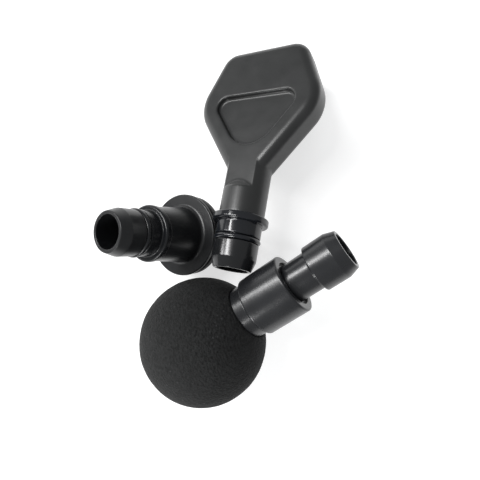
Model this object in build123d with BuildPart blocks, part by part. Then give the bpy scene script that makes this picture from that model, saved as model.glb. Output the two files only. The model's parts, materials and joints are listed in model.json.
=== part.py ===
"""Three push-in heads of a percussion massager, lying in a small pile on a table.

A foam ball head, a flat disc head and a spade head. Each ends in the same hollow
plug nose. Millimetres, +Z up, origin on the table under the middle of the pile.

Every head is drawn along its own axis. A profile point is (radius, station), where
the station is the distance along that axis towards the tip of the plug.
"""

import os
from math import cos, radians, sin

from build123d import *

os.makedirs("parts", exist_ok=True)

# ---- plug nose, the same on every head
NOSE_RADIUS = 9.1
NOSE_END_RADIUS = 7.75
NOSE_TAPER_LENGTH = 4.2
NECK_RADIUS = 7.6
BORE_RADIUS = 6.4
BORE_FLOOR = 4.0
FOOT_RADIUS = 6.9
FOOT_LENGTH = 7.0
FIT_GAP = 0.1

# ---- rubber sleeve and ring seal on the neck of the flat head and the spade head
SLEEVE_RING_RADIUS = 11.5
SLEEVE_RING_LENGTH = 3.0
SLEEVE_BAND_RADIUS = 9.25
SLEEVE_BAND_LENGTH = 5.4
SLEEVE_EDGE = 0.9
SEAL_WIRE_RADIUS = 1.0
SEAL_GROOVE_LENGTH = 2.3
SLEEVED_NOSE_LENGTH = 11.0

# ---- screw and washer that hold a plug to its head
SCREW_RADIUS = 1.5
SCREW_HOLE_RADIUS = 1.7
SCREW_HEAD_RADIUS = 3.2
SCREW_HEAD_LENGTH = 2.4
SCREW_SLOT_WIDTH = 0.9
SCREW_SLOT_DEPTH = 1.1
SCREW_BITE = 9.0
PILOT_SPARE = 1.0
WASHER_RADIUS = 5.2
WASHER_LENGTH = 1.0

# ---- ball head
BALL_RADIUS = 26.0
BALL_CENTRE = Vector(-9.5, -49.9, BALL_RADIUS)
BALL_TURN = 36.0
BALL_RISE = 19.0
CORE_RADIUS = 8.2
SPIGOT_STEP = 1.5
CORE_DISC_RADIUS = 14.0
CORE_DISC_LENGTH = 3.0
CORE_START = -14.0
BASE_RING_RADIUS = 10.5
BASE_RING_START = 22.6
COLLAR_START = 28.1
COLLAR_END = 46.2
COLLAR_RADIUS = 11.8
COLLAR_EDGE = 0.7
COLLAR_RECESS_RADIUS = 8.9
COLLAR_RECESS_DEPTH = 1.4
BALL_NOSE_START = 56.0
BALL_TIP = 69.4

# ---- flat head
FLANGE_CENTRE = Vector(-19.5, -6.1, 13.84)
FLAT_TURN = 177.8
FLAT_RISE = 56.7
FLANGE_RADIUS = 18.0
FLANGE_LENGTH = 1.8
FLANGE_EDGE = 0.6
PAD_RADIUS = 17.6
PAD_LENGTH = 6.0
PAD_GAP = 0.6
PAD_SPIGOT_RADIUS = 15.0
PAD_EDGE = 2.2
BARREL_FOOT_RADIUS = 12.1
BARREL_TOP_RADIUS = 11.1
BARREL_END = 19.4

# ---- spade head
SPADE_SHOULDER = Vector(6.1, 0.8, 28.6)
SPADE_TURN = 79.8
SPADE_DIP = 11.5
SPADE_ROLL = 30.0
BLADE_THICKNESS = 13.9
BLADE_EDGE = 4.0
STEM_RADIUS = 9.4
STEM_ROUND_LENGTH = 10.8
STEM_CONE_LENGTH = 4.2
STEM_CONE_RADIUS = 5.95
BLADE_NECK_RADIUS = 9.38  # a hair slimmer, so the two cylinders don't coincide
BLADE_NECK_END = 27.0
FLARE_START = 16.5
FLARE_START_HALF = 6.0
BLADE_WIDE_HALF = 29.6
BLADE_WIDE_AT = 48.9
BLADE_END_HALF = 18.5
BLADE_END = 76.0
WIDE_FILLET = 16.0
END_FILLET = 8.0
RECESS_APEX = 21.7
RECESS_TOP = 53.0
RECESS_HALF = 22.4
RECESS_APEX_FILLET = 11.5
RECESS_CORNER_FILLET = 4.6
RECESS_DEPTH = 2.2
RECESS_RIM = 0.8
RECESS_COVE = 1.0


def aim(turn, rise):
    """Unit vector that turns from +X towards +Y, then rises from the table."""
    flat = cos(radians(rise))
    return Vector(flat * cos(radians(turn)), flat * sin(radians(turn)), sin(radians(rise)))


def section_of(centre, direction):
    """Plane through an axis: local X is the radius, local Y runs along the axis."""
    side = direction.cross(Vector(0, 0, 1)).normalized()
    return Plane(origin=centre, x_dir=side, z_dir=side.cross(direction))


def turned(section, points):
    """Add the solid that a closed (radius, station) outline sweeps round its axis."""
    with BuildSketch(section) as outline:
        with BuildLine():
            Polyline(*points, close=True)
        make_face()
    revolve(outline.sketch, axis=Axis(section.origin, section.y_dir))


def finish(piece, name):
    piece.part.label = name
    export_step(piece.part, f"parts/{name}.step")


def nose_profile(foot_radius, foot, shoulder, nose, tip):
    """Hollow plug: foot in the head, neck from the shoulder, then the nose to the tip."""
    floor = foot + BORE_FLOOR
    return [
        (SCREW_HOLE_RADIUS, foot),
        (foot_radius, foot),
        (foot_radius, shoulder),
        (NECK_RADIUS, shoulder),
        (NECK_RADIUS, nose),
        (NOSE_RADIUS, nose),
        (NOSE_RADIUS, tip - NOSE_TAPER_LENGTH),
        (NOSE_END_RADIUS, tip),
        (BORE_RADIUS, tip),
        (BORE_RADIUS, floor),
        (SCREW_HOLE_RADIUS, floor),
    ]


def ring_profile(inner, outer, start, end):
    return [(inner, start), (outer, start), (outer, end), (inner, end)]


# ======================================================= plug parts shared by heads
def add_screw(section, seat, slot_plane):
    """Slotted screw whose head sits on the washer at `seat` and bites below it."""
    under = seat + WASHER_LENGTH
    top = under + SCREW_HEAD_LENGTH
    turned(
        section,
        [
            (0, seat - BORE_FLOOR - SCREW_BITE),
            (SCREW_RADIUS, seat - BORE_FLOOR - SCREW_BITE + SCREW_RADIUS),
            (SCREW_RADIUS, under),
            (SCREW_HEAD_RADIUS, under),
            (SCREW_HEAD_RADIUS, top - SCREW_SLOT_DEPTH),
            (SCREW_HEAD_RADIUS - SCREW_SLOT_DEPTH / 2, top),
            (0, top),
        ],
    )
    with BuildSketch(slot_plane.offset(top)) as slot:
        Rectangle(2 * SCREW_HEAD_RADIUS, SCREW_SLOT_WIDTH)
    extrude(slot.sketch, amount=-SCREW_SLOT_DEPTH, mode=Mode.SUBTRACT)


def end_on(centre, direction):
    """Plane square to the axis: local Z runs along it, towards the tip."""
    return Plane(origin=centre, z_dir=direction)


# ================================================================= ball head
ball_direction = aim(BALL_TURN, BALL_RISE)
ball_section = section_of(BALL_CENTRE, ball_direction)
ball_end = end_on(BALL_CENTRE, ball_direction)
ball_foot = COLLAR_END - FOOT_LENGTH
ball_seat = ball_foot + BORE_FLOOR
ball_spigot_radius = FOOT_RADIUS - SPIGOT_STEP
ball_spigot_end = ball_foot - FIT_GAP

# foam ball with the core's socket and the base ring's seat cut into it
with BuildPart() as ball_foam:
    with Locations(ball_section.origin):
        Sphere(BALL_RADIUS)
    with BuildSketch(ball_section):
        with BuildLine():
            Polyline(
                (0, CORE_START),
                (CORE_DISC_RADIUS, CORE_START),
                (CORE_DISC_RADIUS, CORE_START + CORE_DISC_LENGTH),
                (CORE_RADIUS, CORE_START + CORE_DISC_LENGTH),
                (CORE_RADIUS, BASE_RING_START),
                (BASE_RING_RADIUS, BASE_RING_START),
                (BASE_RING_RADIUS, BALL_RADIUS),
                (0, BALL_RADIUS),
                close=True,
            )
        make_face()
    revolve(axis=Axis(ball_section.origin, ball_section.y_dir), mode=Mode.SUBTRACT)
finish(ball_foam, "ball_foam")

# rigid core moulded into the foam: holding disc, shank and spigot with the screw's pilot hole
with BuildPart() as ball_core:
    turned(
        ball_section,
        [
            (0, CORE_START),
            (CORE_DISC_RADIUS, CORE_START),
            (CORE_DISC_RADIUS, CORE_START + CORE_DISC_LENGTH),
            (CORE_RADIUS, CORE_START + CORE_DISC_LENGTH),
            (CORE_RADIUS, BASE_RING_START),
            (ball_spigot_radius, BASE_RING_START),
            (ball_spigot_radius, ball_spigot_end),
            (SCREW_RADIUS, ball_spigot_end),
            (SCREW_RADIUS, ball_foot - SCREW_BITE - PILOT_SPARE),
            (0, ball_foot - SCREW_BITE - PILOT_SPARE),
        ],
    )
finish(ball_core, "ball_core")

with BuildPart() as ball_base_ring:
    turned(
        ball_section,
        ring_profile(ball_spigot_radius, BASE_RING_RADIUS, BASE_RING_START, COLLAR_START),
    )
finish(ball_base_ring, "ball_base_ring")

# collar barrel: through bore for the spigot, socket for the plug's foot, recess round the neck
with BuildPart() as ball_collar:
    turned(
        ball_section,
        [
            (ball_spigot_radius, COLLAR_START),
            (COLLAR_RADIUS - COLLAR_EDGE, COLLAR_START),
            (COLLAR_RADIUS, COLLAR_START + COLLAR_EDGE),
            (COLLAR_RADIUS, COLLAR_END - COLLAR_EDGE),
            (COLLAR_RADIUS - COLLAR_EDGE, COLLAR_END),
            (COLLAR_RECESS_RADIUS, COLLAR_END),
            (COLLAR_RECESS_RADIUS, COLLAR_END - COLLAR_RECESS_DEPTH),
            (FOOT_RADIUS, COLLAR_END - COLLAR_RECESS_DEPTH),
            (FOOT_RADIUS, ball_foot),
            (ball_spigot_radius, ball_foot),
        ],
    )
finish(ball_collar, "ball_collar")

with BuildPart() as ball_plug:
    turned(
        ball_section,
        nose_profile(FOOT_RADIUS, ball_foot, COLLAR_END - COLLAR_RECESS_DEPTH, BALL_NOSE_START, BALL_TIP),
    )
finish(ball_plug, "ball_plug")

with BuildPart() as ball_washer:
    turned(ball_section, ring_profile(SCREW_HOLE_RADIUS, WASHER_RADIUS, ball_seat, ball_seat + WASHER_LENGTH))
finish(ball_washer, "ball_washer")

with BuildPart() as ball_screw:
    add_screw(ball_section, ball_seat, ball_end)
finish(ball_screw, "ball_screw")


# ================================================================= sleeved plugs
def sleeved_plug(section, shoulder):
    """Foot, neck and nose of a plug whose neck carries a sleeve and a ring seal."""
    nose = shoulder + SLEEVE_RING_LENGTH + SLEEVE_BAND_LENGTH + SEAL_GROOVE_LENGTH
    turned(
        section,
        nose_profile(FOOT_RADIUS, shoulder - FOOT_LENGTH, shoulder, nose, nose + SLEEVED_NOSE_LENGTH),
    )


def sleeve(section, shoulder):
    """Soft sleeve: a broad ring against the shoulder, then a slimmer band."""
    band = shoulder + SLEEVE_RING_LENGTH
    end = band + SLEEVE_BAND_LENGTH
    turned(
        section,
        [
            (NECK_RADIUS, shoulder),
            (SLEEVE_RING_RADIUS, shoulder),
            (SLEEVE_RING_RADIUS, band),
            (SLEEVE_BAND_RADIUS, band),
            (SLEEVE_BAND_RADIUS, end),
            (NECK_RADIUS, end),
        ],
    )
    fillet(edges().filter_by(GeomType.CIRCLE).group_by(SortBy.RADIUS)[-1], SLEEVE_EDGE)


def ring_seal(section, shoulder):
    """Round wire seal in the groove between the sleeve and the nose."""
    groove = shoulder + SLEEVE_RING_LENGTH + SLEEVE_BAND_LENGTH
    with BuildSketch(section) as wire:
        with Locations((NECK_RADIUS + SEAL_WIRE_RADIUS, groove + SEAL_GROOVE_LENGTH / 2)):
            Circle(SEAL_WIRE_RADIUS)
    revolve(wire.sketch, axis=Axis(section.origin, section.y_dir))


# ================================================================= flat head
flat_direction = aim(FLAT_TURN, FLAT_RISE)
flat_section = section_of(FLANGE_CENTRE, flat_direction)
flat_end = end_on(FLANGE_CENTRE, flat_direction)
flat_foot = BARREL_END - FOOT_LENGTH
flat_seat = flat_foot + BORE_FLOOR

with BuildPart() as flat_pad:
    turned(
        flat_section,
        [
            (0, -PAD_LENGTH),
            (PAD_RADIUS, -PAD_LENGTH),
            (PAD_RADIUS, -PAD_GAP),
            (PAD_SPIGOT_RADIUS, -PAD_GAP),
            (PAD_SPIGOT_RADIUS, 0),
            (0, 0),
        ],
    )
    pad_rims = edges().filter_by(GeomType.CIRCLE).group_by(SortBy.RADIUS)[-1]
    fillet(pad_rims, PAD_EDGE)
finish(flat_pad, "flat_pad")

# flange and barrel in one moulding, with a socket for the plug's foot and a pilot hole
with BuildPart() as flat_body:
    turned(
        flat_section,
        [
            (0, 0),
            (FLANGE_RADIUS, 0),
            (FLANGE_RADIUS, FLANGE_LENGTH),
            (BARREL_FOOT_RADIUS, FLANGE_LENGTH),
            (BARREL_TOP_RADIUS, BARREL_END),
            (FOOT_RADIUS, BARREL_END),
            (FOOT_RADIUS, flat_foot),
            (SCREW_RADIUS, flat_foot),
            (SCREW_RADIUS, flat_foot - SCREW_BITE - PILOT_SPARE),
            (0, flat_foot - SCREW_BITE - PILOT_SPARE),
        ],
    )
    fillet(edges().filter_by(GeomType.CIRCLE).group_by(SortBy.RADIUS)[-1], FLANGE_EDGE)
finish(flat_body, "flat_body")

with BuildPart() as flat_plug:
    sleeved_plug(flat_section, BARREL_END)
finish(flat_plug, "flat_plug")

with BuildPart() as flat_sleeve:
    sleeve(flat_section, BARREL_END)
finish(flat_sleeve, "flat_sleeve")

with BuildPart() as flat_ring_seal:
    ring_seal(flat_section, BARREL_END)
finish(flat_ring_seal, "flat_ring_seal")

with BuildPart() as flat_washer:
    turned(flat_section, ring_profile(SCREW_HOLE_RADIUS, WASHER_RADIUS, flat_seat, flat_seat + WASHER_LENGTH))
finish(flat_washer, "flat_washer")

with BuildPart() as flat_screw:
    add_screw(flat_section, flat_seat, flat_end)
finish(flat_screw, "flat_screw")


# ================================================================= spade head
spade_direction = aim(SPADE_TURN + 180, SPADE_DIP)
spade_section = section_of(SPADE_SHOULDER, spade_direction)
spade_end = end_on(SPADE_SHOULDER, spade_direction)
spade_foot = -FOOT_LENGTH
spade_seat = spade_foot + BORE_FLOOR

# blade plane: local X across the blade, local Y from the shoulder to the blade's end
level_across = Vector(sin(radians(SPADE_TURN)), -cos(radians(SPADE_TURN)), 0)
level_up = spade_direction.cross(level_across)
blade_across = level_across * cos(radians(SPADE_ROLL)) + level_up * sin(radians(SPADE_ROLL))
blade_plane = Plane(
    origin=SPADE_SHOULDER,
    x_dir=blade_across,
    z_dir=spade_direction.cross(blade_across),
)

# square to the spade's axis, with local X across the blade and local Z towards its end
neck_plane = Plane(origin=SPADE_SHOULDER, x_dir=blade_across, z_dir=-spade_direction)

with BuildPart() as spade_blade:
    # thick plate whose flare runs on into the stem
    with BuildSketch(blade_plane.offset(-BLADE_THICKNESS / 2)):
        with BuildLine():
            FilletPolyline(
                (0, FLARE_START),
                (FLARE_START_HALF, FLARE_START),
                (BLADE_WIDE_HALF, BLADE_WIDE_AT),
                (BLADE_END_HALF, BLADE_END),
                (0, BLADE_END),
                radius=[0, WIDE_FILLET, END_FILLET],
            )
            Line((0, BLADE_END), (0, FLARE_START))
        make_face()
        mirror(about=Plane.YZ)
    extrude(amount=BLADE_THICKNESS)
    blade_faces = faces().sort_by(Axis(blade_plane.origin, blade_plane.z_dir))
    fillet(blade_faces[0].edges() + blade_faces[-1].edges(), BLADE_EDGE)

    # sunk panel on both faces, with a rounded rim and a cove round its floor
    for side in (-1, 1):
        with BuildSketch(blade_plane.offset(side * BLADE_THICKNESS / 2)):
            with BuildLine():
                FilletPolyline(
                    (RECESS_HALF, RECESS_TOP),
                    (0, RECESS_APEX),
                    (-RECESS_HALF, RECESS_TOP),
                    radius=[RECESS_CORNER_FILLET, RECESS_APEX_FILLET, RECESS_CORNER_FILLET],
                    close=True,
                )
            make_face()
        extrude(amount=-side * RECESS_DEPTH, mode=Mode.SUBTRACT)
        blade_faces = faces().filter_by(blade_plane).sort_by(Axis(blade_plane.origin, side * blade_plane.z_dir))
        fillet(blade_faces[-2].outer_wire().edges(), RECESS_COVE)
        blade_faces = faces().filter_by(blade_plane).sort_by(Axis(blade_plane.origin, side * blade_plane.z_dir))
        fillet(blade_faces[-1].inner_wires()[0].edges(), RECESS_RIM)

    # round stem, ending in a short cone, then the neck with its two flats
    turned(
        spade_section,
        [
            (0, 0),
            (STEM_RADIUS, 0),
            (STEM_RADIUS, -STEM_ROUND_LENGTH),
            (STEM_CONE_RADIUS, -STEM_ROUND_LENGTH - STEM_CONE_LENGTH),
            (0, -STEM_ROUND_LENGTH - STEM_CONE_LENGTH),
        ],
    )
    with BuildSketch(neck_plane.offset(STEM_ROUND_LENGTH)) as neck:
        Circle(BLADE_NECK_RADIUS)
        Rectangle(2 * STEM_RADIUS, BLADE_THICKNESS, mode=Mode.INTERSECT)
    extrude(neck.sketch, amount=BLADE_NECK_END - STEM_ROUND_LENGTH)

    # socket for the plug's foot and pilot hole for the screw
    with BuildSketch(spade_section) as socket:
        with BuildLine():
            Polyline(
                (0, 0),
                (FOOT_RADIUS, 0),
                (FOOT_RADIUS, spade_foot),
                (SCREW_RADIUS, spade_foot),
                (SCREW_RADIUS, spade_foot - SCREW_BITE - PILOT_SPARE),
                (0, spade_foot - SCREW_BITE - PILOT_SPARE),
                close=True,
            )
        make_face()
    revolve(
        socket.sketch,
        axis=Axis(spade_section.origin, spade_section.y_dir),
        mode=Mode.SUBTRACT,
    )
finish(spade_blade, "spade_blade")

with BuildPart() as spade_plug:
    sleeved_plug(spade_section, 0)
finish(spade_plug, "spade_plug")

with BuildPart() as spade_sleeve:
    sleeve(spade_section, 0)
finish(spade_sleeve, "spade_sleeve")

with BuildPart() as spade_ring_seal:
    ring_seal(spade_section, 0)
finish(spade_ring_seal, "spade_ring_seal")

with BuildPart() as spade_washer:
    turned(spade_section, ring_profile(SCREW_HOLE_RADIUS, WASHER_RADIUS, spade_seat, spade_seat + WASHER_LENGTH))
finish(spade_washer, "spade_washer")

with BuildPart() as spade_screw:
    add_screw(spade_section, spade_seat, spade_end)
finish(spade_screw, "spade_screw")
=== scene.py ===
# %% [markdown]
# # Three heads of a percussion massager
#
# A foam ball head, a flat disc head and a spade head lie in a small pile on a white table.
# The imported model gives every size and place, in metres. This file gives the pile its looks.
# Each step says what the real piece is, how it could be made here, and why this way was chosen.

# %% Load the frame
import json
import math

import bmesh
import bpy
from mathutils import Matrix, Vector
from mathutils import noise as field


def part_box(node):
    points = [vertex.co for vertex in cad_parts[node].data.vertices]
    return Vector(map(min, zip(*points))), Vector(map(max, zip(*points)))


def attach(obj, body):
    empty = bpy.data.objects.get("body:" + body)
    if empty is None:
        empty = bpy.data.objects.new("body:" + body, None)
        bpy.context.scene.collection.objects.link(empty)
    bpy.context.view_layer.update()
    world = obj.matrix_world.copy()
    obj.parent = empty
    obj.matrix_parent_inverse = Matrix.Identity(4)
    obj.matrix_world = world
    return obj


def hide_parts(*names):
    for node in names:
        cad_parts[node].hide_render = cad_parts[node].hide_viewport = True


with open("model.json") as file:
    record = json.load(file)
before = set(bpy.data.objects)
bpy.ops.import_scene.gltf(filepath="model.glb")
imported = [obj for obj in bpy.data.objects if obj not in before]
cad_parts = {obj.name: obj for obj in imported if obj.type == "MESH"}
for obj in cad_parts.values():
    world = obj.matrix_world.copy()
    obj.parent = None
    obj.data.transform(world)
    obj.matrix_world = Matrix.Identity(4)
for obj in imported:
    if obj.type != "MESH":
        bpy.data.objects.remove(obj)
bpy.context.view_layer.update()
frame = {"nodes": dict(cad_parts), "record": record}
MM = 0.001
SAME_POINT = 1e-6
print("nodes", sorted(frame["nodes"]))

# %% [markdown]
# ## The axis of each head
#
# All three heads are turned parts: almost every piece is a profile spun about the head's own axis.
# The record states a mount on each plug's nose, with a point on the axis and the axis itself.
# One matrix per head, built from its mount, turns a piece drawn about Z into its place in the pile.

# %% Head matrices from the plug mounts
mounts = {m["name"].split("_")[0]: m for m in frame["record"]["mounts"]}
NOSE_RADIUS = mounts["ball"]["dims"]["r_mm"] * MM
print("nose radius in mm", NOSE_RADIUS / MM)


def head_matrix(head):
    """Matrix whose Z column is the head's axis and whose origin is the middle of its nose."""
    mount = mounts[head]
    axis = Vector(mount["axis"]).normalized()
    side = axis.cross(Vector((0, 0, 1))).normalized()
    turned = Matrix((side, axis.cross(side), axis)).transposed().to_4x4()
    return Matrix.Translation(Vector(mount["pos_m"])) @ turned


head_place = {head: head_matrix(head) for head in mounts}
for head, place in head_place.items():
    rise = math.degrees(math.asin(place.col[2][2]))
    print(head, "axis rises", round(rise, 1), "degrees")

# %% [markdown]
# ## Camera
#
# The pile is seen from straight above and from close by, so nearer pieces look clearly larger.
# A short lens at arm's length gives that, and a long lens far away would flatten it.
# The camera hangs 184 mm over the table, nearly over the gap between the three heads.

# %% Camera over the pile
CAMERA_HEIGHT = 184 * MM
CAMERA_OVER = Vector((5.6 * MM, -7.5 * MM))
LENS = 28.5
camera_data = bpy.data.cameras.new("camera")
camera_data.lens = LENS
camera_data.sensor_width = 36.0
camera_data.shift_y = -0.004
camera_data.clip_start = 0.005
camera_data.clip_end = 10.0
camera = bpy.data.objects.new("camera", camera_data)
camera.location = (CAMERA_OVER.x, CAMERA_OVER.y, CAMERA_HEIGHT)
bpy.context.collection.objects.link(camera)
bpy.context.scene.camera = camera
print("camera height in mm", CAMERA_HEIGHT / MM)

# %% [markdown]
# ## Table
#
# The table is plain and so bright that it runs into the background. One large plane is enough.

# %% White table
TABLE_SIZE = 30.0


def white_table():
    mesh = bpy.data.meshes.new("table")
    half = TABLE_SIZE / 2
    mesh.from_pydata(
        [(-half, -half, 0), (half, -half, 0), (half, half, 0), (-half, half, 0)], [], [(0, 1, 2, 3)]
    )
    table = bpy.data.objects.new("table", mesh)
    bpy.context.collection.objects.link(table)
    return table


table = white_table()
print("table", TABLE_SIZE, "m square")

# %% [markdown]
# ## Light
#
# Black plastic shows its shape mostly by what it reflects. The room is dim, so the black stays
# black. Two windows to the left give the turned parts their pairs of thin highlights, and a third
# one in front gives the ball's collar its second one. Area lights make such windows: their shape is
# mirrored in the gloss, which a point light lacks. The Standard view keeps the white table white.

# %% Dim room and three windows
ROOM_BRIGHTNESS = 0.42
world = bpy.data.worlds.new("dim room")
world.use_nodes = True
world.node_tree.nodes["Background"].inputs["Color"].default_value = (0.97, 0.985, 1.0, 1.0)
world.node_tree.nodes["Background"].inputs["Strength"].default_value = ROOM_BRIGHTNESS
bpy.context.scene.world = world
bpy.context.scene.view_settings.view_transform = "Standard"


def window_light(name, place, aim, size, watts):
    """A rectangular area light at `place` that faces `aim`, with its long side kept upright."""
    data = bpy.data.lights.new(name, "AREA")
    data.shape = "RECTANGLE"
    data.size, data.size_y = size
    data.energy = watts
    lamp = bpy.data.objects.new(name, data)
    lamp.location = place
    lamp.rotation_euler = (Vector(aim) - Vector(place)).to_track_quat("-Z", "Y").to_euler()
    bpy.context.collection.objects.link(lamp)
    return lamp


window_light("high window", (-0.38, 0.26, 0.59), (0, 0, 0.02), (0.07, 0.42), 3.8)
window_light("left window", (-0.58, 0.22, 0.42), (0, 0, 0.02), (0.06, 0.42), 3.0)
window_light("front window", (-0.40, -0.62, 0.37), (0, 0, 0.02), (0.14, 0.42), 4.2)
print("room", ROOM_BRIGHTNESS, "with", len(bpy.data.lights), "windows")

# %% [markdown]
# ## Turned pieces
#
# A lathe makes a solid by spinning a profile. Here the profile is a closed chain of edges in the
# plane of radius and height, and a Geometry Nodes tree sweeps it round a circle. Moulded edges are
# never sharp: each corner of a profile carries its own small radius, drawn as an arc. A short held
# stretch beside each arc keeps the flat faces flat when the surface is shaded smooth.

# %% Node helper and the lathe tree
class Nodes:
    """Adds nodes of one tree: a type, its settings, then the values or links of its sockets."""

    def __init__(self, tree):
        self.tree = tree

    def add(self, kind, settings=None, **sockets):
        node = self.tree.nodes.new(kind)
        for name, value in (settings or {}).items():
            setattr(node, name, value)
        for name, value in sockets.items():
            self.feed(node.inputs[name.replace("_", " ")], value)
        return node

    def feed(self, socket, value):
        if isinstance(value, Wire):
            value = value.socket
        if isinstance(value, bpy.types.NodeSocket):
            self.tree.links.new(value, socket)
        else:
            socket.default_value = value


class Wire:
    """A shader socket that Python's own operators turn into Math nodes."""

    def __init__(self, nodes, socket):
        self.nodes = nodes
        self.socket = socket

    def math(self, operation, *values):
        node = self.nodes.add("ShaderNodeMath", {"operation": operation})
        for socket, value in zip(node.inputs, values):
            self.nodes.feed(socket, value)
        return Wire(self.nodes, node.outputs[0])

    def __add__(self, other):
        return self.math("ADD", self, other)

    def __radd__(self, other):
        return self.math("ADD", other, self)

    def __sub__(self, other):
        return self.math("SUBTRACT", self, other)

    def __rsub__(self, other):
        return self.math("SUBTRACT", other, self)

    def __mul__(self, other):
        return self.math("MULTIPLY", self, other)

    def __rmul__(self, other):
        return self.math("MULTIPLY", other, self)

    def clamp(self, low=0.0, high=1.0):
        return self.math("MINIMUM", self.math("MAXIMUM", self, low), high)

    def step(self, start, end):
        """0 below `start`, 1 above `end`, and a smooth slope between them."""
        node = self.nodes.add(
            "ShaderNodeMapRange",
            {"interpolation_type": "SMOOTHSTEP"},
            Value=self,
            From_Min=start,
            From_Max=end,
        )
        return Wire(self.nodes, node.outputs[0])


SWEEP_RADIUS = 10 * MM


def lathe_tree():
    """Sweeps a profile, drawn as (radius - SWEEP_RADIUS, -height), round the Z axis."""
    tree = bpy.data.node_groups.new("lathe", "GeometryNodeTree")
    tree.interface.new_socket("Profile", in_out="INPUT", socket_type="NodeSocketGeometry")
    tree.interface.new_socket("Steps", in_out="INPUT", socket_type="NodeSocketInt")
    tree.interface.new_socket("Finish", in_out="INPUT", socket_type="NodeSocketMaterial")
    tree.interface.new_socket("Turned", in_out="OUTPUT", socket_type="NodeSocketGeometry")
    nodes = Nodes(tree)
    given = tree.nodes.new("NodeGroupInput").outputs
    chain = nodes.add("GeometryNodeMeshToCurve", Mesh=given["Profile"])
    round_path = nodes.add(
        "GeometryNodeCurvePrimitiveCircle", Resolution=given["Steps"], Radius=SWEEP_RADIUS
    )
    swept = nodes.add(
        "GeometryNodeCurveToMesh", Curve=round_path.outputs["Curve"], Profile_Curve=chain.outputs[0]
    )
    closed = nodes.add(
        "GeometryNodeMergeByDistance", Geometry=swept.outputs[0], Distance=SAME_POINT
    )
    smooth = nodes.add("GeometryNodeSetShadeSmooth", Geometry=closed.outputs[0])
    real = nodes.add("GeometryNodeRealizeInstances", Geometry=smooth.outputs[0])
    painted = nodes.add(
        "GeometryNodeSetMaterial", Geometry=real.outputs[0], Material=given["Finish"]
    )
    nodes.feed(tree.nodes.new("NodeGroupOutput").inputs["Turned"], painted.outputs[0])
    return tree


LATHE = lathe_tree()
LATHE_STEPS = 144
print("lathe tree has", len(LATHE.nodes), "nodes")

# %% Profiles with rounded corners
ARC_STEPS = 6
HOLD = 0.12 * MM


def rounded_outline(corners):
    """Closed outline in (radius, height) from corners in mm: (radius, height, corner radius)."""
    outline = []
    count = len(corners)
    for index, (radius, height, soft) in enumerate(corners):
        here = Vector((radius, height)) * MM
        before = Vector(corners[index - 1][:2]) * MM
        after = Vector(corners[(index + 1) % count][:2]) * MM
        if soft == 0:
            outline.append(here)
            continue
        back = (before - here).normalized()
        ahead = (after - here).normalized()
        half = back.angle(ahead) / 2
        reach = soft * MM / math.tan(half)
        centre = here + (back + ahead).normalized() * (soft * MM / math.sin(half))
        start = here + back * reach - centre
        end = here + ahead * reach - centre
        outline.append(here + back * (reach + HOLD))
        for step in range(ARC_STEPS + 1):
            outline.append(centre + start.slerp(end, step / ARC_STEPS) * soft * MM)
        outline.append(here + ahead * (reach + HOLD))
    return outline


def place_of(head, home):
    """The head's matrix, with its origin moved `home` mm back along the axis from the nose."""
    return head_place[head] @ Matrix.Translation((0, 0, -home * MM))


def turned_piece(name, corners, finish, place, steps=LATHE_STEPS):
    """Spins a rounded outline with the lathe tree and leaves a plain mesh in its place."""
    outline = rounded_outline(corners)
    points = [(p.x - SWEEP_RADIUS, -p.y, 0) for p in outline]
    edges = [
        (i, (i + 1) % len(points))
        for i in range(len(points))
        if max(outline[i].x, outline[(i + 1) % len(points)].x) > 0
    ]
    chain = bpy.data.meshes.new(name + "_profile")
    chain.from_pydata(points, edges, [])
    spun = bpy.data.objects.new(name + "_profile", chain)
    bpy.context.collection.objects.link(spun)
    lathe = spun.modifiers.new("lathe", "NODES")
    lathe.node_group = LATHE
    for item in LATHE.interface.items_tree:
        if item.name == "Steps":
            lathe[item.identifier] = steps
        if item.name == "Finish":
            lathe[item.identifier] = finish
    view = bpy.context.evaluated_depsgraph_get()
    mesh = bpy.data.meshes.new_from_object(spun.evaluated_get(view))
    bpy.data.objects.remove(spun)
    mesh.transform(place)
    return finished_piece(name, mesh, finish)


def finished_piece(name, mesh, finish):
    """Turns the faces outwards, shades them smooth and links the piece at the origin."""
    shape = bmesh.new()
    shape.from_mesh(mesh)
    bmesh.ops.recalc_face_normals(shape, faces=shape.faces)
    for face in shape.faces:
        face.smooth = True
    shape.to_mesh(mesh)
    volume = shape.calc_volume() / MM**3
    open_edges = sum(not edge.is_manifold for edge in shape.edges)
    shape.free()
    mesh.name = name
    mesh.materials.clear()
    mesh.materials.append(finish)
    piece = bpy.data.objects.new(name, mesh)
    bpy.context.collection.objects.link(piece)
    print(name, len(mesh.polygons), "faces,", round(volume), "mm3,", open_edges, "open edges")
    return piece


def belongs(piece, body, slot, *nodes):
    """The piece rides on a body and stands for these nodes, whose CAD meshes are hidden. The slot
    argument is not used.
    """
    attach(piece, body)
    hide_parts(*nodes)
    return piece


# %% [markdown]
# ## Finishes
#
# Everything here is black, so the finishes differ by gloss and grain. A mould with a spark-eroded
# wall leaves a fine even grain, and a polished mould a clear gloss. Foam shows its small cells.
# Noise in Object coordinates makes each grain, at its real size, and feeds colour, gloss and bump.

# %% Finish helper
def new_finish(name, **sockets):
    """A material with one Principled shader; returns it with its nodes and the shader."""
    material = bpy.data.materials.new(name)
    material.use_nodes = True
    nodes = Nodes(material.node_tree)
    shader = material.node_tree.nodes["Principled BSDF"]
    for socket, value in sockets.items():
        shader.inputs[socket.replace("_", " ")].default_value = value
    return material, nodes, shader


def place_in_piece(nodes):
    return nodes.add("ShaderNodeTexCoord").outputs["Object"]


def noise(nodes, where, scale, detail=2.0, rough=0.5):
    made = nodes.add(
        "ShaderNodeTexNoise", Vector=where, Scale=scale, Detail=detail, Roughness=rough
    )
    return Wire(nodes, made.outputs["Fac"])


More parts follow.
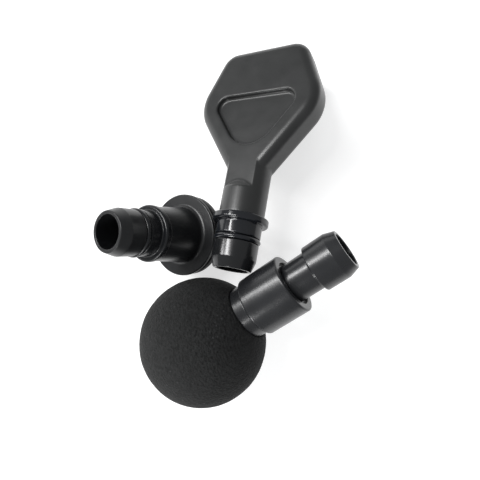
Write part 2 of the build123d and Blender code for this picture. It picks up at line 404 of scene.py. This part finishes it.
def mixed_colour(nodes, amount, dark, light):
    made = nodes.add("ShaderNodeMix", {"data_type": "RGBA"})
    nodes.feed(made.inputs["Factor"], amount)
    made.inputs[6].default_value = (*dark, 1.0)
    made.inputs[7].default_value = (*light, 1.0)
    return made.outputs[2]


def bumped(nodes, shader, height, depth):
    bump = nodes.add("ShaderNodeBump", Distance=depth, Height=height)
    nodes.feed(shader.inputs["Normal"], bump.outputs["Normal"])


def moulded_finish(name, dark, light, roughness, grain, grain_depth, **sockets):
    """Moulded plastic: faint flow clouds in the colour, fine even grain, slightly uneven gloss."""
    material, nodes, shader = new_finish(name, **sockets)
    where = place_in_piece(nodes)
    clouds = noise(nodes, where, 60.0, 3.0)
    fine = noise(nodes, where, grain, 3.0, 0.6)
    smears = noise(nodes, where, 140.0, 4.0, 0.55)
    nodes.feed(shader.inputs["Base Color"], mixed_colour(nodes, clouds.step(0.3, 0.7), dark, light))
    uneven = roughness + (smears - 0.5) * 0.16 + (fine - 0.5) * 0.06
    nodes.feed(shader.inputs["Roughness"], uneven.clamp(0.05, 1.0))
    bumped(nodes, shader, fine, grain_depth)
    return material


# %% Plastic, rubber and steel
blade_plastic = moulded_finish(
    "blade plastic",
    (0.0125, 0.0130, 0.0130),
    (0.0165, 0.0170, 0.0170),
    roughness=0.33,
    grain=1500.0,
    grain_depth=0.00002,
    Specular_IOR_Level=0.46,
)
collar_plastic = moulded_finish(
    "collar plastic",
    (0.0095, 0.0100, 0.0112),
    (0.0130, 0.0136, 0.0150),
    roughness=0.26,
    grain=1200.0,
    grain_depth=0.00001,
    Specular_IOR_Level=0.46,
)
spade_plug_plastic = moulded_finish(
    "spade plug plastic",
    (0.0065, 0.0070, 0.0075),
    (0.0095, 0.0100, 0.0108),
    roughness=0.20,
    grain=1200.0,
    grain_depth=0.000004,
    Specular_IOR_Level=0.42,
)
flat_plastic = moulded_finish(
    "flat head plastic",
    (0.0068, 0.0072, 0.0078),
    (0.0100, 0.0104, 0.0112),
    roughness=0.33,
    grain=1200.0,
    grain_depth=0.000006,
    Specular_IOR_Level=0.34,
)
spade_rubber = moulded_finish(
    "spade sleeve rubber",
    (0.0050, 0.0058, 0.0075),
    (0.0075, 0.0085, 0.0105),
    roughness=0.13,
    grain=1200.0,
    grain_depth=0.000003,
    Specular_IOR_Level=0.44,
)
flat_rubber = moulded_finish(
    "flat sleeve rubber",
    (0.0060, 0.0065, 0.0075),
    (0.0085, 0.0090, 0.0102),
    roughness=0.27,
    grain=1200.0,
    grain_depth=0.000005,
    Specular_IOR_Level=0.28,
)
pad_rubber = moulded_finish(
    "pad rubber",
    (0.014, 0.014, 0.015),
    (0.020, 0.020, 0.021),
    roughness=0.55,
    grain=2000.0,
    grain_depth=0.00006,
    Specular_IOR_Level=0.3,
)


def screw_steel_finish():
    material, nodes, shader = new_finish("screw steel", Metallic=1.0)
    where = place_in_piece(nodes)
    worn = noise(nodes, where, 900.0, 4.0)
    colour = mixed_colour(nodes, worn, (0.36, 0.36, 0.37), (0.56, 0.56, 0.57))
    nodes.feed(shader.inputs["Base Color"], colour)
    nodes.feed(shader.inputs["Roughness"], 0.28 + 0.2 * worn)
    bumped(nodes, shader, worn, 0.00001)
    return material


screw_steel = screw_steel_finish()


def table_finish():
    """White light table: a pale board that glows a little, so that shadows on it stay faint."""
    material, nodes, shader = new_finish(
        "white board", Specular_IOR_Level=0.2, Emission_Strength=0.62
    )
    where = place_in_piece(nodes)
    cloudy = noise(nodes, where, 4.0, 2.0)
    colour = mixed_colour(nodes, cloudy, (0.58, 0.58, 0.58), (0.60, 0.60, 0.60))
    nodes.feed(shader.inputs["Base Color"], colour)
    glow = mixed_colour(nodes, cloudy, (0.98, 0.98, 0.98), (1, 1, 1))
    nodes.feed(shader.inputs["Emission Color"], glow)
    nodes.feed(shader.inputs["Roughness"], 0.6 + 0.1 * cloudy)
    return material


table.data.materials.append(table_finish())


def foam_skin_finish():
    """Closed-cell foam: fine cells, a mottled dark grey, and sparse pale specks of dust."""
    material, nodes, shader = new_finish("foam skin", Specular_IOR_Level=0.22)
    where = place_in_piece(nodes)
    cells = nodes.add("ShaderNodeTexVoronoi", Vector=where, Scale=1100.0)
    cell = Wire(nodes, cells.outputs["Distance"])
    mottle = noise(nodes, where, 900.0, 4.0, 0.65)
    broad = noise(nodes, where, 70.0, 3.0)
    tone = (mottle * 0.75 + broad * 0.25).step(0.36, 0.64)
    base = mixed_colour(nodes, tone, (0.0040, 0.0042, 0.0042), (0.0132, 0.0136, 0.0137))
    specks = nodes.add("ShaderNodeTexVoronoi", Vector=where, Scale=560.0)
    speck = Wire(nodes, specks.outputs["Distance"])
    dusty = noise(nodes, where, 160.0, 1.0)
    dust = (1.0 - speck.step(0.08, 0.26)) * dusty.step(0.5, 0.68)
    dusted = nodes.add("ShaderNodeMix", {"data_type": "RGBA"})
    nodes.feed(dusted.inputs["Factor"], (dust * 0.28).clamp())
    nodes.feed(dusted.inputs[6], base)
    dusted.inputs[7].default_value = (0.075, 0.077, 0.079, 1.0)
    nodes.feed(shader.inputs["Base Color"], dusted.outputs[2])
    nodes.feed(shader.inputs["Roughness"], (0.84 + (mottle - 0.5) * 0.2).clamp())
    bumped(nodes, shader, cell * 0.5 + mottle, 0.0005)
    return material


foam_skin = foam_skin_finish()
print("finishes", len(bpy.data.materials))

# %% [markdown]
# ## The hollow plug
#
# Each head ends in the same nose: a tube with a tapered end and a blind bore. The ball head's plug
# has a bare neck, and the other two hide their neck under a rubber sleeve. One outline function
# draws both, so the three noses can't drift apart.

# %% Plug outlines
NOSE = NOSE_RADIUS / MM
NOSE_END = 7.75
TAPER = 4.2
NECK = 7.6
FOOT = 6.9
BORE = 6.4
SCREW_HOLE = 1.7


def plug_outline(foot, floor, shoulder, nose, tip):
    """Corners of a plug, in mm from the head's home: foot, neck, nose, tapered tip and bore."""
    return [
        (SCREW_HOLE, foot, 0.2),
        (FOOT, foot, 0.3),
        (FOOT, shoulder, 0.1),
        (NECK, shoulder, 0.2),
        (NECK, nose, 0.5),
        (NOSE, nose, 0.45),
        (NOSE, tip - TAPER, 1.2),
        (NOSE_END, tip, 0.4),
        (BORE, tip, 0.3),
        (BORE, floor, 0.5),
        (SCREW_HOLE, floor, 0.2),
    ]


# %% [markdown]
# ## Ball head
#
# The plug, the collar barrel and a thin base ring sit one behind another on the ball's axis. The
# collar's end face is recessed round the neck, and that narrow ring stays dark.

# %% Ball head's hard pieces
ball_low, ball_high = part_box("ball_foam")
ball_centre = (ball_low + ball_high) / 2
BALL_RADIUS = (ball_high.z - ball_low.z) / 2 / MM
BALL_HOME = (Vector(mounts["ball"]["pos_m"]) - ball_centre).length / MM
ball_place = place_of("ball", BALL_HOME)
print("ball radius", round(BALL_RADIUS, 2), "ball centre to nose", round(BALL_HOME, 2), "mm")

BALL_TIP = 69.4
BALL_NOSE = 56.0
BALL_FOOT = 39.2
BALL_FLOOR = 43.2
COLLAR = (28.1, 46.2)
COLLAR_RADIUS = 11.8
COLLAR_MOUTH = 8.9
COLLAR_RECESS = COLLAR[1] - 1.4
CORE_HOLE = 5.4
RING_RADIUS = 10.5
RING_START = 22.6
ball_plug = turned_piece(
    "ball_plug_tube",
    plug_outline(BALL_FOOT, BALL_FLOOR, COLLAR_RECESS, BALL_NOSE, BALL_TIP),
    collar_plastic,
    ball_place,
)
belongs(ball_plug, "ball_head", "moulded_plastic", "ball_plug")
ball_collar = turned_piece(
    "ball_collar_barrel",
    [
        (CORE_HOLE, COLLAR[0], 0),
        (COLLAR_RADIUS, COLLAR[0], 0.7),
        (COLLAR_RADIUS, COLLAR[1], 0.7),
        (COLLAR_MOUTH, COLLAR[1], 0.35),
        (COLLAR_MOUTH, COLLAR_RECESS, 0.2),
        (FOOT, COLLAR_RECESS, 0),
        (FOOT, BALL_FOOT, 0),
        (CORE_HOLE, BALL_FOOT, 0),
    ],
    collar_plastic,
    ball_place,
)
belongs(ball_collar, "ball_head", "moulded_plastic", "ball_collar")
base_ring = turned_piece(
    "ball_base_washer_ring",
    [
        (CORE_HOLE, RING_START, 0),
        (RING_RADIUS, RING_START, 0.3),
        (RING_RADIUS, COLLAR[0], 0.5),
        (CORE_HOLE, COLLAR[0], 0),
    ],
    collar_plastic,
    ball_place,
)
belongs(base_ring, "ball_head", "moulded_plastic", "ball_base_ring")

# %% [markdown]
# ## Foam ball
#
# The ball is moulded closed-cell foam: firm, slightly uneven, and drawn in where the base ring
# grips it. A turned profile gives the sphere and the gripped mouth, with even faces. Low waves
# push its points in and out by a tenth of a millimetre or so, as foam is never quite true.

# %% Foam ball
BALL_ARC_STEPS = 120
MOUTH = RING_RADIUS + 0.25
CORE_POCKET = 8.3
POCKET_FLOOR = 10.0


def ball_outline():
    """Half circle from the far pole to the mouth, then down the mouth's wall to the core."""
    mouth_angle = math.asin(MOUTH / BALL_RADIUS)
    corners = []
    for step in range(BALL_ARC_STEPS + 1):
        angle = math.pi - (math.pi - mouth_angle) * step / BALL_ARC_STEPS
        corners.append((BALL_RADIUS * math.sin(angle), BALL_RADIUS * math.cos(angle), 0))
    corners[0] = (0.0, -BALL_RADIUS, 0)
    lip = corners.pop()
    corners.append((lip[0], lip[1] - 0.05, 0))
    corners.append((MOUTH - 0.3, 22.75, 0))
    corners.append((CORE_POCKET, RING_START, 0))
    corners.append((CORE_POCKET, POCKET_FLOOR, 0))
    corners.append((0.0, POCKET_FLOOR, 0))
    return corners


foam_ball = turned_piece("foam_ball", ball_outline(), foam_skin, ball_place, steps=240)

SLOW_WAVES = 90.0
QUICK_WAVES = 420.0
FOAM_DEPTH = 0.12 * MM


def foam_unevenness(piece, depth):
    """Moves the outer points towards or from the ball's centre by a slow and a quick noise."""
    for vertex in piece.data.vertices:
        away = vertex.co - ball_centre
        if away.length < 0.9 * BALL_RADIUS * MM:
            continue
        slow = field.noise(away * SLOW_WAVES)
        quick = field.noise(away * QUICK_WAVES)
        vertex.co -= away.normalized() * depth * (0.6 + 0.7 * slow + 0.35 * quick)


foam_unevenness(foam_ball, FOAM_DEPTH)
belongs(foam_ball, "ball_head", "foam_skin", "ball_foam")

# %% [markdown]
# ## Sleeved plugs
#
# The flat head and the spade head share a sleeved neck: a broad rubber ring against the shoulder,
# a slimmer glossy band, then a round seal in the groove behind the nose.

# %% Sleeve, seal and plug on one place
SLEEVED_FOOT = -7.0
SLEEVED_FLOOR = -3.0
RING = (0.0, 3.0)
SLEEVE_RING_RADIUS = 11.5
BAND_RADIUS = 9.25
BAND_END = 8.4
WIRE_STEPS = 32
NOSE_START = 10.7
SLEEVED_TIP = 21.7
SLEEVED_HOME = (NOSE_START + SLEEVED_TIP - TAPER) / 2


def sleeved_neck(head, plastic, rubber):
    """Plug, sleeve and seal of one head, drawn from its shoulder."""
    place = place_of(head, SLEEVED_HOME)
    body = head + "_head"
    plug = turned_piece(
        head + "_plug_tube",
        plug_outline(SLEEVED_FOOT, SLEEVED_FLOOR, 0.0, NOSE_START, SLEEVED_TIP),
        plastic,
        place,
    )
    belongs(plug, body, "satin_plastic", head + "_plug")
    sleeve = turned_piece(
        head + "_rubber_sleeve",
        [
            (NECK, RING[0], 0),
            (SLEEVE_RING_RADIUS, RING[0], 0.7),
            (SLEEVE_RING_RADIUS, RING[1], 0.9),
            (BAND_RADIUS, RING[1], 0.5),
            (BAND_RADIUS, BAND_END, 0.5),
            (NECK, BAND_END, 0),
        ],
        rubber,
        place,
    )
    belongs(sleeve, body, "gloss_rubber", head + "_sleeve")
    seal_centre = (BAND_END + NOSE_START) / 2
    wire = [
        (NECK + 1 + math.cos(turn), seal_centre + math.sin(turn), 0)
        for turn in (2 * math.pi * k / WIRE_STEPS for k in range(WIRE_STEPS))
    ]
    seal = turned_piece(head + "_seal_ring", wire, rubber, place)
    belongs(seal, body, "gloss_rubber", head + "_ring_seal")


sleeved_neck("flat", flat_plastic, flat_rubber)
sleeved_neck("spade", spade_plug_plastic, spade_rubber)

# %% [markdown]
# ## Flat head
#
# The barrel swells slightly towards a thin flange, and the striking pad sits behind the flange
# with a narrow dark gap between them.

# %% Flat head's body and pad
BARREL_END = 19.4
FLAT_FOOT = BARREL_END + SLEEVED_FOOT
FLANGE_RADIUS = 18.0
FLANGE_LENGTH = 1.8
PILOT_RADIUS = 1.5
PILOT_FLOOR = 2.4
PAD_RADIUS = 17.6
PAD_LENGTH = 6.0
PAD_GAP = 0.6
PAD_SPIGOT = 15.0
FLAT_HOME = BARREL_END + SLEEVED_HOME
flat_place = place_of("flat", FLAT_HOME)
flat_body = turned_piece(
    "flat_flange_barrel",
    [
        (0, 0, 0),
        (FLANGE_RADIUS, 0, 0.5),
        (FLANGE_RADIUS, FLANGE_LENGTH, 0.5),
        (12.1, FLANGE_LENGTH, 1.6),
        (11.1, BARREL_END, 0.4),
        (FOOT, BARREL_END, 0),
        (FOOT, FLAT_FOOT, 0),
        (PILOT_RADIUS, FLAT_FOOT, 0),
        (PILOT_RADIUS, PILOT_FLOOR, 0),
        (0, PILOT_FLOOR, 0),
    ],
    flat_plastic,
    flat_place,
)
belongs(flat_body, "flat_head", "satin_plastic", "flat_body")
flat_pad = turned_piece(
    "flat_striking_pad",
    [
        (0, -PAD_LENGTH, 0),
        (PAD_RADIUS, -PAD_LENGTH, 2.2),
        (PAD_RADIUS, -PAD_GAP, 1.6),
        (PAD_SPIGOT, -PAD_GAP, 0),
        (PAD_SPIGOT, 0, 0),
        (0, 0, 0),
    ],
    pad_rubber,
    flat_place,
)
belongs(flat_pad, "flat_head", "pad_rubber", "flat_pad")

# %% [markdown]
# ## Spade blade
#
# The blade is one moulding: a thick plate with a sunk panel, a neck with two flats, and a round
# stem. Its CAD solid has the right shape but knife edges where surfaces meet. A Bevel modifier
# wants clean edges, and this mesh is loose triangles. So a copy is rebuilt as an even skin of
# small faces, square to the blade, relaxed a little, and put back. Relaxing rounds each edge, as a
# mould does.

# %% Spade blade
SKIN_SIZE = 0.34 * MM
RELAX_ROUNDS = 4


def blade_directions():
    """Matrix from the blade's own directions to the pile's: across, along and face normal."""
    along = -Vector(mounts["spade"]["axis"]).normalized()
    faces = frame["nodes"]["spade_blade"].data.polygons
    normal = max(faces, key=lambda face: face.area).normal.normalized()
    print("blade face is", round(math.degrees(normal.angle(along)), 2), "degrees from its axis")
    return Matrix((along.cross(normal), along, normal)).transposed().to_4x4()


def moulded_skin(name, node, turned, finish):
    """Copies a node, rebuilds it as an even skin in its own directions, and relaxes it."""
    mesh = frame["nodes"][node].data.copy()
    mesh.transform(turned.inverted())
    shape = bmesh.new()
    shape.from_mesh(mesh)
    bmesh.ops.remove_doubles(shape, verts=shape.verts, dist=SAME_POINT)
    shape.to_mesh(mesh)
    shape.free()
    block = bpy.data.objects.new(name + "_block", mesh)
    bpy.context.collection.objects.link(block)
    skin = block.modifiers.new("skin", "REMESH")
    skin.mode = "VOXEL"
    skin.voxel_size = SKIN_SIZE
    relax = block.modifiers.new("relax", "SMOOTH")
    relax.factor = 0.5
    relax.iterations = RELAX_ROUNDS
    view = bpy.context.evaluated_depsgraph_get()
    done = bpy.data.meshes.new_from_object(block.evaluated_get(view))
    bpy.data.objects.remove(block)
    done.transform(turned)
    return finished_piece(name, done, finish)


spade_blade = moulded_skin("spade_blade_skin", "spade_blade", blade_directions(), blade_plastic)
belongs(spade_blade, "spade_head", "blade_plastic", "spade_blade")

# %% [markdown]
# ## Screws and core
#
# These CAD nodes stay as they are: screws and washers at the bottom of the bores, and the ball's
# core. They only need their finish.

# %% Finishes of the remaining CAD nodes
kept = {
    "ball_core": collar_plastic,
    "ball_washer": screw_steel,
    "ball_screw": screw_steel,
    "flat_washer": screw_steel,
    "flat_screw": screw_steel,
    "spade_washer": screw_steel,
    "spade_screw": screw_steel,
}
for node, finish in kept.items():
    mesh = frame["nodes"][node].data
    mesh.materials.clear()
    mesh.materials.append(finish)
print("kept CAD nodes", len(kept))
